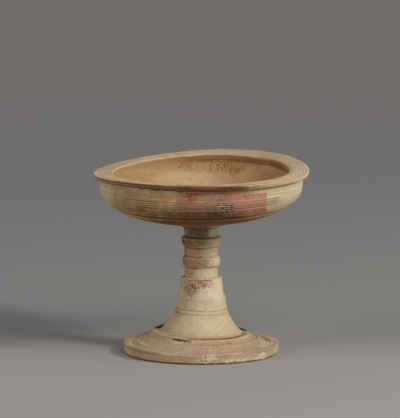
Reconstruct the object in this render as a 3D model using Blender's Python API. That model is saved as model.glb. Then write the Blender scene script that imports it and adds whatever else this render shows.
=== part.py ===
"""Chalice of buff fired clay: a wide shallow bowl on a ringed stem and a spreading foot.

It was thrown on a wheel and joined wet, so it is one solid. Its outline is one turned profile,
drawn from the hollow under the foot, up the outside, over the rim and down into the bowl.
The profile is spun round +Z and then bent a little, because the clay sagged as it dried.
Metres, +Z up. The foot stands on the plane z = 0 and the front of the vessel faces -Y.
"""

import math

import bmesh
import bpy

# Foot: an upright edge, a sloping top with ring grooves, and a crest round a deep groove.
# Widths are measured inwards and rises upwards, each from the feature before it
FOOT_RADIUS = 0.0624
FOOT_EDGE_HEIGHT = 0.0085
FOOT_EDGE_ROUND = 0.0011
FOOT_EDGE_TUCK = 0.0005
STANDING_RING_WIDTH = 0.0165
FOOT_GROOVE_COUNT = 2
FOOT_GROOVE_INSET = 0.0064
FOOT_GROOVE_PITCH = 0.0023
FOOT_GROOVE_WIDTH = 0.0013
FOOT_GROOVE_DEPTH = 0.0007
FOOT_GROOVES_RISE = 0.0010
FOOT_STEP_INSET = 0.0176
FOOT_STEP_RISE = 0.0043
FOOT_STEP_DEPTH = 0.0006
CREST_INSET = 0.0061
CREST_RISE = 0.0036
CREST_GROOVE_WIDTH = 0.0017
CREST_GROOVE_DEPTH = 0.0030

# Hollow under the foot, which ends below the top of the collar
FOOT_WALL = 0.0100
HOLLOW_COVER = 0.0140
HOLLOW_ARCH = 1.5
HOLLOW_POINTS = 6

# Cone that rises from the foot, with two incised lines and a soft step under its collar
CONE_INSET = 0.0057
CONE_RISE = 0.0018
CONE_HEIGHT = 0.0278
CONE_REACH = 0.0007
CONE_FLARE_LENGTH = 0.0122
CONE_POINTS = 4
CONE_STEP = 0.0010
CONE_LINE_RISE = 0.0148
CONE_LINE_PITCH = 0.0031
CONE_LINE_WIDTH = 0.0010
CONE_LINE_DEPTH = 0.0004
COLLAR_REACH = 0.0035
COLLAR_LENGTH = 0.0150
COLLAR_SWELL = 0.0005
COLLAR_SWELL_RISE = 0.0020
COLLAR_ROUND = 0.0006

# Stem, from the collar up: neck, lower ring, neck, upper ring, neck, fillet into the bowl.
# Each reach is how far a ring stands out from the neck
NECK_RADIUS = 0.0134
LOWER_NECK_LENGTH = 0.0094
LOWER_RING_REACH = 0.0015
LOWER_RING_HEIGHT = 0.0075
MIDDLE_NECK_LENGTH = 0.0086
UPPER_RING_REACH = 0.0027
UPPER_RING_HEIGHT = 0.0070
UPPER_RING_TAPER = 0.0014
UPPER_NECK_LENGTH = 0.0050
RING_ROUND = 0.0005
FILLET_RISE = 0.0072
FILLET_REACH = 0.0055
FILLET_POINTS = 3

# Bowl: the underside is a quarter of a full ellipse that ends at an upright wall
BOWL_RADIUS = 0.0809
BOWL_DEPTH = 0.0286
BOWL_FULLNESS = 2.1
WALL_HEIGHT = 0.0047
WALL_LEAN = 0.0002
BOWL_WALL = 0.0106
BOWL_FLOOR = 0.0085
INSIDE_CURVE = 2.4
COMB_COUNT = 4
COMB_PITCH = 0.0016
COMB_DEPTH = 0.0004
COMB_DROP = 0.0056
BEAD_DROP = 0.0161
BEAD_WIDTH = 0.0022
BEAD_GROOVE_WIDTH = 0.0020
BEAD_GROOVE_DEPTH = 0.0009
UNDER_GROOVE_WIDTH = 0.0016
UNDER_GROOVE_DEPTH = 0.0005
UNDERSIDE_POINTS = 6
INSIDE_POINTS = 9

# Rim: a flared throat, a shadow groove, a lip and a flat ledge with fine turned rings
RIM_OVERHANG = 0.0052
THROAT_HEIGHT = 0.0040
THROAT_FLARE = 0.0015
THROAT_POINTS = 2
LIP_GROOVE_DEPTH = 0.0006
LIP_GROOVE_WIDTH = 0.0008
LIP_HEIGHT = 0.0038
LIP_UNDERCUT = 0.0015
LIP_LEAN = 0.0003
LIP_ROUND = 0.0006
LEDGE_FALL = 0.0005
LEDGE_GROOVE_PITCH = 0.0021
LEDGE_GROOVE_DEPTH = 0.0003
LEDGE_MARGIN = 0.0012
INNER_LIP_DEPTH = 0.0045

# How the clay sagged: heights gained (+) or lost (-) where each term is greatest
RIM_TILT_RIGHT = 0.0012
RIM_TILT_BACK = 0.0028
RIM_BOW = 0.0013
RIM_TWIST = 0.0021
RIM_BEND_DEPTH = 0.0290
RIM_BEND_START = 0.5
CREST_TILT = 0.0013
FOOT_TWIST = 0.0008

SEGMENTS = 44
MERGE_DISTANCE = 0.00001
SHARP_ANGLE = math.radians(30.0)
CLAY_COLOUR = (0.53, 0.38, 0.21, 1.0)
CLAY_ROUGHNESS = 0.85

# Radii and heights that follow from the sizes above
FOOT_STEP_RADIUS = FOOT_RADIUS - FOOT_STEP_INSET
FOOT_STEP_HEIGHT = FOOT_EDGE_HEIGHT + FOOT_STEP_RISE
CREST_RADIUS = FOOT_STEP_RADIUS - CREST_INSET
CREST_HEIGHT = FOOT_STEP_HEIGHT + CREST_RISE
CONE_BASE_RADIUS = CREST_RADIUS - CONE_INSET
CONE_BASE_HEIGHT = CREST_HEIGHT + CONE_RISE
CONE_TOP_HEIGHT = CONE_BASE_HEIGHT + CONE_HEIGHT
COLLAR_RADIUS = NECK_RADIUS + COLLAR_REACH
CONE_RADIUS = COLLAR_RADIUS + CONE_REACH
COLLAR_TOP = CONE_TOP_HEIGHT + COLLAR_LENGTH
HOLLOW_HEIGHT = COLLAR_TOP - HOLLOW_COVER
LOWER_RING_BOTTOM = COLLAR_TOP + LOWER_NECK_LENGTH
LOWER_RING_TOP = LOWER_RING_BOTTOM + LOWER_RING_HEIGHT
UPPER_RING_BOTTOM = LOWER_RING_TOP + MIDDLE_NECK_LENGTH
UPPER_RING_TOP = UPPER_RING_BOTTOM + UPPER_RING_HEIGHT
FILLET_BOTTOM = UPPER_RING_TOP + UPPER_NECK_LENGTH
BOWL_BOTTOM = FILLET_BOTTOM + FILLET_RISE
SHOULDER_HEIGHT = BOWL_BOTTOM + BOWL_DEPTH
WALL_TOP = SHOULDER_HEIGHT + WALL_HEIGHT
LIP_BOTTOM = WALL_TOP + THROAT_HEIGHT + LIP_GROOVE_WIDTH
RIM_HEIGHT = LIP_BOTTOM + LIP_HEIGHT
RIM_RADIUS = BOWL_RADIUS + RIM_OVERHANG
INNER_RADIUS = BOWL_RADIUS - BOWL_WALL
INNER_LIP_HEIGHT = RIM_HEIGHT - LEDGE_FALL
INSIDE_TOP = INNER_LIP_HEIGHT - INNER_LIP_DEPTH
FLOOR_HEIGHT = BOWL_BOTTOM + BOWL_FLOOR


def clear_scene():
    for item in list(bpy.data.objects):
        bpy.data.objects.remove(item, do_unlink=True)


def between(start, end, share):
    return (
        start[0] + (end[0] - start[0]) * share,
        start[1] + (end[1] - start[1]) * share,
    )


def groove(start, end, depth, bottom_shares=(0.5,)):
    """A groove from start to end, a V unless told otherwise; the clay lies left of its run."""
    along = (end[0] - start[0], end[1] - start[1])
    length = math.hypot(*along)
    points = [start]
    for share in bottom_shares:
        above = between(start, end, share)
        points.append((above[0] - along[1] / length * depth, above[1] + along[0] / length * depth))
    return points + [end]


def grooved_line(start, end, centres, width, depth):
    """A straight run with a groove centred at each of the given distances from its start."""
    length = math.dist(start, end)
    points = [start]
    for centre in centres:
        first = between(start, end, (centre - width / 2) / length)
        last = between(start, end, (centre + width / 2) / length)
        points += groove(first, last, depth)
    return points + [end]


def ripple(start, end, count, depth):
    """Turned rings from start to end: a zigzag of this many valleys, each this deep."""
    points = [start]
    for number in range(count):
        first = between(start, end, number / count)
        last = between(start, end, (number + 1) / count)
        points += groove(first, last, depth)[1:]
    return points


def hollow_profile():
    """From the top of the hollow under the foot down to the inner edge of the standing ring."""
    mouth = FOOT_RADIUS - FOOT_EDGE_TUCK - STANDING_RING_WIDTH
    points = [(0.0, HOLLOW_HEIGHT)]
    for step in range(1, HOLLOW_POINTS):
        height = HOLLOW_HEIGHT * (1.0 - (step / HOLLOW_POINTS) ** HOLLOW_ARCH)
        outside = cone_radius(max(height + FOOT_WALL / 2, CONE_BASE_HEIGHT))
        points.append((outside - FOOT_WALL, height))
    points.append((mouth, 0.0))
    return points


def foot_profile():
    """From the standing ring up the edge and over the sloping top to the crest groove."""
    base = FOOT_RADIUS - FOOT_EDGE_TUCK
    outer = (FOOT_RADIUS - FOOT_EDGE_ROUND, FOOT_EDGE_HEIGHT)
    groove_span = FOOT_GROOVE_INSET + FOOT_GROOVE_COUNT * FOOT_GROOVE_PITCH
    inner = (outer[0] - groove_span, FOOT_EDGE_HEIGHT + FOOT_GROOVES_RISE)
    points = [
        (base - FOOT_EDGE_ROUND, 0.0),
        (base, FOOT_EDGE_ROUND),
        (FOOT_RADIUS, FOOT_EDGE_HEIGHT - FOOT_EDGE_ROUND),
    ]
    centres = [
        FOOT_GROOVE_INSET + FOOT_GROOVE_PITCH * number for number in range(FOOT_GROOVE_COUNT)
    ]
    points += grooved_line(outer, inner, centres, FOOT_GROOVE_WIDTH, FOOT_GROOVE_DEPTH)
    step_foot = (FOOT_STEP_RADIUS, FOOT_STEP_HEIGHT - FOOT_STEP_DEPTH)
    points += [
        between(inner, (FOOT_STEP_RADIUS, FOOT_STEP_HEIGHT), 0.5),
        (FOOT_STEP_RADIUS + FOOT_STEP_DEPTH, FOOT_STEP_HEIGHT),
        step_foot,
        (CREST_RADIUS, CREST_HEIGHT),
    ]
    outer_lip = (CREST_RADIUS - CREST_GROOVE_WIDTH / 2, CREST_HEIGHT)
    inner_lip = (outer_lip[0] - CREST_GROOVE_WIDTH, CREST_HEIGHT)
    points += groove(outer_lip, inner_lip, CREST_GROOVE_DEPTH, (1 / 3, 2 / 3))
    return points


def cone_radius(height):
    """Radius of the flared cone, which draws in towards the collar."""
    reach = CONE_BASE_RADIUS - CONE_RADIUS
    return CONE_RADIUS + reach * math.exp((CONE_BASE_HEIGHT - height) / CONE_FLARE_LENGTH)


def cone_profile():
    """The cone with its incised lines, the soft step and the collar."""
    points = []
    lowest_line = CONE_BASE_HEIGHT + CONE_LINE_RISE
    line_bottoms = [lowest_line, lowest_line + CONE_LINE_PITCH]
    for number in range(CONE_POINTS):
        height = CONE_BASE_HEIGHT + CONE_LINE_RISE * number / CONE_POINTS
        points.append((cone_radius(height), height))
    for bottom in line_bottoms:
        top = bottom + CONE_LINE_WIDTH
        points += groove((cone_radius(bottom), bottom), (cone_radius(top), top), CONE_LINE_DEPTH)
    middle = (line_bottoms[-1] + CONE_TOP_HEIGHT) / 2
    points.append((cone_radius(middle), middle))
    points.append((cone_radius(CONE_TOP_HEIGHT), CONE_TOP_HEIGHT))
    shoulder = cone_radius(CONE_TOP_HEIGHT) - CONE_STEP
    points.append((shoulder, CONE_TOP_HEIGHT + CONE_STEP))
    swell_height = CONE_TOP_HEIGHT + CONE_STEP + COLLAR_SWELL_RISE
    points.append((COLLAR_RADIUS + COLLAR_SWELL, swell_height))
    points.append((COLLAR_RADIUS, COLLAR_TOP - COLLAR_ROUND))
    points.append((COLLAR_RADIUS - COLLAR_ROUND, COLLAR_TOP))
    return points


def ring_profile(bottom_radius, top_radius, bottom, top):
    """A raised ring of the stem, its two edges rounded off, between two lengths of neck."""
    return [
        (NECK_RADIUS, bottom - RING_ROUND),
        (bottom_radius - RING_ROUND, bottom),
        (bottom_radius, bottom + RING_ROUND),
        (top_radius, top - RING_ROUND),
        (top_radius - RING_ROUND, top),
        (NECK_RADIUS, top + RING_ROUND),
    ]


def stem_profile():
    """Neck and rings, then the start of the fillet under the bowl."""
    points = [(NECK_RADIUS, COLLAR_TOP + COLLAR_ROUND)]
    lower = NECK_RADIUS + LOWER_RING_REACH
    upper = NECK_RADIUS + UPPER_RING_REACH
    points += ring_profile(lower, lower, LOWER_RING_BOTTOM, LOWER_RING_TOP)
    points += ring_profile(upper - UPPER_RING_TAPER, upper, UPPER_RING_BOTTOM, UPPER_RING_TOP)
    points.append((NECK_RADIUS, FILLET_BOTTOM))
    top = NECK_RADIUS + FILLET_REACH
    rise = underside_height(top) - FILLET_BOTTOM
    for number in range(1, FILLET_POINTS):
        angle = number / FILLET_POINTS * math.pi / 2
        radius = NECK_RADIUS + FILLET_REACH * (1 - math.cos(angle))
        points.append((radius, FILLET_BOTTOM + rise * math.sin(angle)))
    points.append((top, underside_height(top)))
    return points


def underside_height(radius):
    share = (1.0 - (radius / BOWL_RADIUS) ** BOWL_FULLNESS) ** (1.0 / BOWL_FULLNESS)
    return SHOULDER_HEIGHT - BOWL_DEPTH * share


def outside_point(drop):
    """A point of the bowl's outside, on the curve below the shoulder or on the wall above it."""
    if drop < 0.0:
        return (BOWL_RADIUS - WALL_LEAN * drop / WALL_HEIGHT, SHOULDER_HEIGHT - drop)
    share = (1.0 - (drop / BOWL_DEPTH) ** BOWL_FULLNESS) ** (1.0 / BOWL_FULLNESS)
    return (BOWL_RADIUS * share, SHOULDER_HEIGHT - drop)


def bowl_profile():
    """The underside with its bead between two grooves, the combed shoulder and the wall."""
    under_groove = (outside_point(BEAD_DROP + UNDER_GROOVE_WIDTH), outside_point(BEAD_DROP))
    bead_top = BEAD_DROP - BEAD_WIDTH
    over_groove = (outside_point(bead_top), outside_point(bead_top - BEAD_GROOVE_WIDTH))
    start = NECK_RADIUS + FILLET_REACH
    points = []
    for number in range(1, UNDERSIDE_POINTS):
        radius = start + (under_groove[0][0] - start) * number / UNDERSIDE_POINTS
        points.append((radius, underside_height(radius)))
    points += groove(*under_groove, UNDER_GROOVE_DEPTH)
    points += groove(*over_groove, BEAD_GROOVE_DEPTH)
    points.append(outside_point((bead_top - BEAD_GROOVE_WIDTH + COMB_DROP) / 2))
    points.append(outside_point(COMB_DROP))
    for number in range(COMB_COUNT):
        low = outside_point(COMB_DROP - COMB_PITCH * number)
        high = outside_point(COMB_DROP - COMB_PITCH * (number + 1))
        points += groove(low, high, COMB_DEPTH)[1:]
    points.append((BOWL_RADIUS + WALL_LEAN, WALL_TOP))
    return points


def rim_profile():
    """Throat, shadow groove, lip and the ledge with its turned rings."""
    wall = BOWL_RADIUS + WALL_LEAN
    points = []
    for number in range(1, THROAT_POINTS + 1):
        share = number / THROAT_POINTS
        points.append((wall + THROAT_FLARE * share**2, WALL_TOP + THROAT_HEIGHT * share))
    throat = wall + THROAT_FLARE
    points += [
        (throat - LIP_GROOVE_DEPTH, LIP_BOTTOM - LIP_GROOVE_WIDTH / 2),
        (throat + LIP_GROOVE_DEPTH, LIP_BOTTOM),
        (RIM_RADIUS - LIP_LEAN, LIP_BOTTOM + LIP_UNDERCUT),
        (RIM_RADIUS, RIM_HEIGHT - LIP_ROUND),
    ]
    outer = (RIM_RADIUS - LIP_ROUND, RIM_HEIGHT)
    inner = (INNER_RADIUS, INNER_LIP_HEIGHT)
    width = math.dist(outer, inner)
    count = int((width - 2 * LEDGE_MARGIN) / LEDGE_GROOVE_PITCH)
    margin = (width - count * LEDGE_GROOVE_PITCH) / 2 / width
    first = between(outer, inner, margin)
    last = between(outer, inner, 1 - margin)
    points.append(outer)
    points += ripple(first, last, count, LEDGE_GROOVE_DEPTH)
    points.append(inner)
    return points


def inside_profile():
    """From the foot of the upright inner lip down a hollow slope to the middle of the floor."""
    depth = INSIDE_TOP - FLOOR_HEIGHT
    points = []
    for number in range(INSIDE_POINTS, -1, -1):
        share = number / INSIDE_POINTS
        points.append((INNER_RADIUS * share, FLOOR_HEIGHT + depth * share**INSIDE_CURVE))
    return points


def clamp(value):
    return min(1.0, max(0.0, value))


def sag(radius, height, across, away):
    """Height gained by a point; across and away are the cosine and sine of its bearing."""
    if radius < MERGE_DISTANCE:
        return 0.0
    double_cos = across * across - away * away
    double_sin = 2.0 * across * away
    reach = radius / RIM_RADIUS
    raised = clamp((height - FILLET_BOTTOM) / FILLET_RISE)
    tilt = (RIM_TILT_RIGHT * across + RIM_TILT_BACK * away) * reach * raised
    bend = clamp((reach - RIM_BEND_START) / (1.0 - RIM_BEND_START)) ** 2
    bend *= clamp((height - RIM_HEIGHT + RIM_BEND_DEPTH) / RIM_BEND_DEPTH)
    bow = (RIM_TWIST * double_sin - RIM_BOW * double_cos) * bend
    low = clamp(height / CREST_HEIGHT) * clamp((CONE_TOP_HEIGHT - height) / CREST_HEIGHT)
    outward = clamp((radius - CREST_RADIUS) / (FOOT_RADIUS - CREST_RADIUS))
    crest = CREST_TILT * (away - across) / math.sqrt(2.0) * (1.0 - outward)
    crest *= clamp(radius / CREST_RADIUS)
    edge = -FOOT_TWIST * double_sin * outward
    return tilt + bow + (crest + edge) * low


def build_profile():
    return (
        hollow_profile()
        + foot_profile()
        + cone_profile()
        + stem_profile()
        + bowl_profile()
        + rim_profile()
        + inside_profile()
    )


def spin_profile(points):
    """Spins the profile a full turn round Z and closes it on the axis."""
    shape = bmesh.new()
    verts = [shape.verts.new((radius, 0.0, height)) for radius, height in points]
    edges = [shape.edges.new(pair) for pair in zip(verts[:-1], verts[1:])]
    bmesh.ops.spin(
        shape,
        geom=verts + edges,
        cent=(0.0, 0.0, 0.0),
        axis=(0.0, 0.0, 1.0),
        angle=math.tau,
        steps=SEGMENTS,
        use_merge=True,
    )
    bmesh.ops.remove_doubles(shape, verts=shape.verts[:], dist=MERGE_DISTANCE)
    for vert in shape.verts:
        radius = math.hypot(vert.co.x, vert.co.y)
        if radius > MERGE_DISTANCE:
            vert.co.z += sag(radius, vert.co.z, vert.co.x / radius, vert.co.y / radius)
    bmesh.ops.recalc_face_normals(shape, faces=shape.faces[:])
    return shape


def clay_material():
    material = bpy.data.materials.new("fired_clay")
    material.use_nodes = True
    shader = material.node_tree.nodes["Principled BSDF"]
    shader.inputs["Base Color"].default_value = CLAY_COLOUR
    shader.inputs["Roughness"].default_value = CLAY_ROUGHNESS
    shader.inputs["Metallic"].default_value = 0.0
    return material


def build_chalice():
    shape = spin_profile(build_profile())
    mesh = bpy.data.meshes.new("chalice")
    shape.to_mesh(mesh)
    shape.free()
    mesh.shade_smooth()
    mesh.set_sharp_from_angle(angle=SHARP_ANGLE)
    mesh.materials.append(clay_material())
    chalice = bpy.data.objects.new("chalice", mesh)
    bpy.context.scene.collection.objects.link(chalice)
    return chalice


clear_scene()
build_chalice()
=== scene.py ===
"""The chalice: buff clay, thrown on a wheel, fired unevenly, then worn and stained.

The vessel is one mesh. Its outline is drawn as radius and height, spun round +Z and cut finer
where the detail is fine. Then its points move: turned grooves, the sag of the wet clay, throwing
marks, pits, chips, cracks and crusts. Sizes are millimetres, and MM turns them into the scene's
metres. The front faces -Y, and +X is on the viewer's right.
"""

import math
from collections import namedtuple

import bmesh
import bpy
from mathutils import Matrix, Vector, noise
from mathutils.kdtree import KDTree


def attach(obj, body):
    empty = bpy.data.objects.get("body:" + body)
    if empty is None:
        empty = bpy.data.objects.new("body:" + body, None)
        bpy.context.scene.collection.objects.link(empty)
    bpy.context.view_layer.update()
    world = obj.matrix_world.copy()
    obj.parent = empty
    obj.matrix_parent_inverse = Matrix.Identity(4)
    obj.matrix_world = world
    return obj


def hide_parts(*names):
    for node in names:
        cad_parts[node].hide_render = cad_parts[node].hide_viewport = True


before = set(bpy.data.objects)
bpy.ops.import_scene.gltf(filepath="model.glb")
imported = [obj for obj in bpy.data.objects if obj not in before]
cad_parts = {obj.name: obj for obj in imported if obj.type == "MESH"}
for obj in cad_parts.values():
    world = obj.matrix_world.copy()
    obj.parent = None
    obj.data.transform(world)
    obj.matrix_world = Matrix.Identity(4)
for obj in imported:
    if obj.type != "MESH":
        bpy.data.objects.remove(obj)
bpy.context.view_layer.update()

MM = 0.001

HOLLOW, RING, FOOT_EDGE, FOOT_TOP, CREST, CONE, STEM, UNDERSIDE, WALL, LIP, LEDGE, INSIDE = range(12)

# A groove lies at a radius or at a height. A depth below 0 makes it a ridge
RADIUS, HEIGHT = range(2)
Groove = namedtuple("Groove", "axis centre width depth")
Station = namedtuple("Station", "radius height relief zone")
Dent = namedtuple("Dent", "place reach depth ragged")
Crack = namedtuple("Crack", "width depth path")
Stain = namedtuple("Stain", "place reach colour strength ragged soft", defaults=(0.5,))

# Foot
FOOT_RADIUS = 62.4
FOOT_EDGE_HEIGHT = 8.5
FOOT_EDGE_ROUND = 1.1
FOOT_BASE_RADIUS = 61.9
FOOT_BASE_BEVEL = (2.4, 1.6)
STANDING_RING_WIDTH = 16.5
FOOT_BAND_START = (56.2, 8.9)
FOOT_BAND_END = (50.3, 9.5)
FOOT_GROOVES = (Groove(RADIUS, 54.9, 1.5, 0.75), Groove(RADIUS, 52.6, 1.5, 0.75))
FOOT_BAND_HOLLOW = 0.5
FOOT_STEP_RADIUS = 44.8
FOOT_STEP_HEIGHT = 12.8
FOOT_STEP_DEPTH = 0.65
CREST_RADIUS = 38.7
CREST_HEIGHT = 17
CREST_HOLLOW = 1
CREST_SPLIT_RADIUS = 35.9
CREST_SPLIT_WIDTH = 5.2
CREST_SPLIT_DEPTH = 5
CREST_SPLIT_STEEPNESS = 2.6

# Hollow under the foot
FOOT_WALL = 10
HOLLOW_HEIGHT = 47
HOLLOW_DOME_HEIGHT = 42
HOLLOW_SPLAY_HEIGHT = 11
HOLLOW_SPLAY_BOW = 1.5

# Cone and collar
CONE_BASE_RADIUS = 31.9
CONE_BASE_HEIGHT = 18.2
CONE_RADIUS = 17.6
CONE_FLARE_LENGTH = 12.2
CONE_TOP_HEIGHT = 46
CONE_STEP = 0.35
CONE_GROOVES = (
    Groove(RADIUS, 31.3, 1.2, 0.4),
    Groove(HEIGHT, 33.4, 1.3, 0.55),
    Groove(HEIGHT, 36.5, 1.3, 0.55),
)
COLLAR_RADIUS = 16.6
COLLAR_SWELL = 1
COLLAR_SWELL_RISE = 3
COLLAR_TOP = 61
COLLAR_ROUND = 0.6

# Stem
NECK_RADIUS = 13.4
LOWER_RING_RADIUS = 14.9
LOWER_RING_SPAN = (70.4, 77.9)
UPPER_RING_RADIUS = 16.1
UPPER_RING_SPAN = (86.5, 93.5)
UPPER_RING_TAPER = 1.4
RING_ROUND = 0.9
RING_SWELL = 0.2
FILLET_BOTTOM = 99.2
FILLET_RISE = 7.2
FILLET_REACH = 7.6
FILLET_BEND = 1.4
FILLET_GROOVE = Groove(HEIGHT, 101.4, 1.6, 0.6)

# Bowl: two grooves on its underside have a bead between them
BOWL_RADIUS = 80.9
SHOULDER_HEIGHT = 134.3
BOWL_DEPTH = 28.6
BOWL_FULLNESS = 2.1
WALL_RADIUS = 81.1
WALL_TOP = 139
COMB_HEIGHTS = (128.8, 130.4, 132, 133.7)
COMB_DEPTH = 0.55
COMB_RIDGE = 0.25
BOWL_GROOVES = (
    Groove(HEIGHT, 120, 2.7, 1.5),
    Groove(HEIGHT, 116.9, 1.7, 1.4),
    Groove(HEIGHT, 118.4, 1.5, -0.3),
)
PLAIN_UNDERSIDE = 0.4
INNER_RADIUS = 70.3
FLOOR_HEIGHT = 114.2
INSIDE_CURVE = 2.4

# Rim
RIM_RADIUS = 86.1
RIM_HEIGHT = 147.6
THROAT_HEIGHT = 4
THROAT_FLARE = 2
LIP_GROOVE_DEPTH = 1.2
LIP_BOTTOM = 143.8
LIP_UNDERCUT = 1.5
LIP_LEAN = 0.3
LIP_ROUND = 0.8
LIP_GROOVE = Groove(HEIGHT, 146.2, 0.9, 0.4)
LEDGE_FALL = 0.5
LEDGE_GROOVE_COUNT = 6
LEDGE_GROOVE_PITCH = 2.1
LEDGE_GROOVE_DEPTH = 0.46
INNER_LIP_ROUND = 1.2
INNER_LIP_DEPTH = 4.5
INNER_LIP_CREASE = (2.2, 0.45)

# Heights gained or lost as the wet clay sagged
RIM_TILT_RIGHT = 1.2
RIM_TILT_BACK = 2.8
RIM_BOW = 1.3
RIM_TWIST = 2.1
RIM_BEND_DEPTH = 29
RIM_LIFT = 1.8
RIM_LIFT_BEARING = math.radians(-44)
RIM_LIFT_SHARPNESS = 8
CREST_TILT_BACK = 0.9
CREST_TILT_LEFT = 1.4
FOOT_TWIST = 0.8

# Marks of the hand and the ground all over: how many to the metre, and how deep
HAND_MARKS = ((24, 0.24), (95, 0.11), (430, 0.09))
WHEEL_MARK_DEPTH = 0.1

# How sharp the grooves of a zone still are in the middle, and what they gain to the right
SHARPNESS = {LEDGE: (0.45, 0.6), LIP: (0.5, -0.6), INSIDE: (0.45, 0.6)}

# Mesh. Each box, from its low corner to its high one, is where small dents need finer clay
SPIN_STEPS = 128
FINE_RADIUS = 34 * MM
MERGE_DISTANCE = 0.01 * MM
OUTLINE_STEPS = 240
BEND_SMOOTHING = 2
BEND_RADIUS = 1.2 * MM
FINE_BOXES = (
    ((FOOT_EDGE,), (-2, -99, -9), (99, -34, 999)),
    ((CONE,), (-14.5, -99, 47), (10.5, -8, 999)),
    ((INSIDE,), (-22, 50, 132), (30, 99, 999)),
    ((UNDERSIDE, WALL), (10, -99, 122), (29, -60, 134)),
)


def dents(*rows):
    """Each row is a place, a reach along X, Y and Z, a depth and how ragged the edge is."""
    return [Dent(row[:3], row[3:6], *row[6:]) for row in rows]


NICKS = dents(
    (-64.9, -55.7, 146.7, 3, 3, 1.6, 1, 0.5), (40.6, -69.4, 144.7, 1.9, 1.9, 1.3, 0.9, 0.5),
    (43.9, -73.5, 144.5, 1.7, 1.7, 1.2, 0.8, 0.5), (-47.4, -67.5, 140.7, 2.2, 2.2, 1.4, 0.8, 0.6),
    (-34.8, -74.4, 141, 2.6, 2.6, 1.3, 0.8, 0.6), (-16.5, -80.3, 141.3, 2, 2, 1.1, 0.6, 0.6),
    (-84, -1.6, 145.2, 2, 3.4, 1.6, 0.9, 0.6), (-82.5, -8.5, 145.9, 1.6, 2.2, 1.2, 0.7, 0.6),
    (70.5, 45, 151, 2.4, 2.4, 1.4, 0.8, 0.6), (-20, 81.5, 149.8, 2.8, 2.8, 1.4, 0.9, 0.6),
    (14, -62, 5.8, 2.2, 2.2, 1.4, 0.6, 0.6), (-49.5, -37.3, 4.7, 1, 1, 1, 1, 0.3),
    (-14.7, -4.8, 90.1, 1.5, 2.4, 1.5, 1.2, 0.3), (-27.8, -66.4, 118.4, 1.8, 1.8, 1, 0.9, 0.4),
    (0.3, -27, 24.2, 1.3, 1.3, 1.5, 0.8, 0.4), (30, 52.5, 7.5, 3.4, 3.4, 2.2, 1.1, 0.6),
    (-12, 15, 71, 2.4, 2.4, 1.6, 0.9, 0.6), (45, 70.5, 140.5, 2.2, 2.2, 1.6, 0.8, 0.6),
)
SCARS = dents(
    (-6, -16, 57.4, 10, 8, 4.4, 0.8, 0.3), (3.5, -16.5, 57.6, 6.8, 8, 4.2, 0.7, 0.3),
    (-9, -14.8, 52.6, 6.4, 8, 4.6, 0.7, 0.5), (-20, -37.5, 15.2, 12, 3.8, 2.6, 1.1, 0.5),
    (4, -39.6, 14.3, 14, 3.4, 2.4, 0.4, 0.6), (-5, -57.5, 10.2, 25, 10.5, 3.2, 0.6, 0.35),
    (14, -50.5, 9.6, 19, 3.6, 2.2, 0.45, 0.9), (-25, 29, 17.5, 8, 5, 2, 0.7, 0.8),
)
PITTED = dents(
    (-13.5, 64.5, 141.2, 8, 6, 3.6, 1.5, 0.5), (14, 64, 141.6, 10.5, 6, 3.2, 1.5, 0.5),
    (24.5, 57.5, 138, 4.2, 6, 3.6, 1.4, 0.5), (-8.8, -15.2, 53.8, 6.4, 6, 4.4, 0.5, 0.5),
    (1, -16.6, 55.6, 9.5, 6, 2.2, 0.45, 0.5), (17.8, -77.4, 126.8, 7.4, 8, 4.6, 0.7, 0.6),
    (1, -14.6, 75, 4.4, 4, 3.4, 0.3, 0.6), (2.5, -15, 87.2, 4.6, 4, 1.8, 0.5, 0.6),
    (-83.5, -5, 147, 3, 5, 2, 0.5, 0.6),
)
CRUSTS = dents(
    (7.5, -61.6, 6, 5.4, 5, 3.9, 0.75, 0.6), (4.6, -61.6, 3, 2.6, 4, 2.4, 0.6, 0.6),
    (21.5, -58.4, 2, 5.4, 4, 1.5, 0.7, 0.6), (32, -53.4, 1.9, 8, 5, 1.3, 0.6, 0.7),
    (48.8, -38.4, 3.2, 7.4, 6, 2.6, 0.6, 0.6), (43, -44.6, 2, 5, 4, 1.2, 0.5, 0.6),
    (-14.8, -8.5, 60, 2.2, 2.6, 1.2, 0.6, 0.4), (12.4, -8.6, 75.4, 2.4, 4, 2.6, 0.35, 0.6),
    (3, -13.4, 69.2, 5, 3, 1.3, 0.4, 0.7), (-20, 58.5, 3.5, 7, 5, 2.6, 0.6, 0.7),
)

# Cracks, and one raised scratch, whose depth is below 0
CRACKS = (
    Crack(0.55, 0.4, ((-7.1, -81.1, 139.8), (-7.6, -81, 138.2), (-9.1, -80.6, 136.6), (-10.3, -80.2, 133.8))),
    Crack(0.6, 0.5, ((-8, -80.9, 136.9), (-11.5, -80.4, 137.4), (-15.8, -79.5, 136.9))),
    Crack(0.6, 0.7, ((30, -76, 140.2), (31.8, -75.4, 137.8), (33.6, -74.3, 136.6), (36.2, -72.6, 133.4))),
    Crack(0.5, -0.3, ((-21.4, -77.7, 132.8), (-21.9, -76.6, 128.6), (-21.5, -75.4, 124.5))),
    Crack(1.1, 1.7, ((-25.5, -30.6, 16.5), (-20, -34.4, 16.2), (-14, -37.3, 15.9))),
    Crack(1, 1.1, ((-14, -37.3, 15.9), (-10, -38.6, 15.7))),
    Crack(1.2, 1.3, ((-14.8, -4.6, 91.6), (-14.6, -4.9, 88.4))),
    Crack(0.6, 0.6, ((-30, 75, 138.5), (-27.5, 75.2, 134), (-29.5, 73, 129))),
)


def clamp(value):
    return min(1, max(0, value))


def smooth(value):
    share = clamp(value)
    return share * share * (3 - 2 * share)


def between(start, end, share):
    return tuple(first + (last - first) * share for first, last in zip(start, end))


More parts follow.
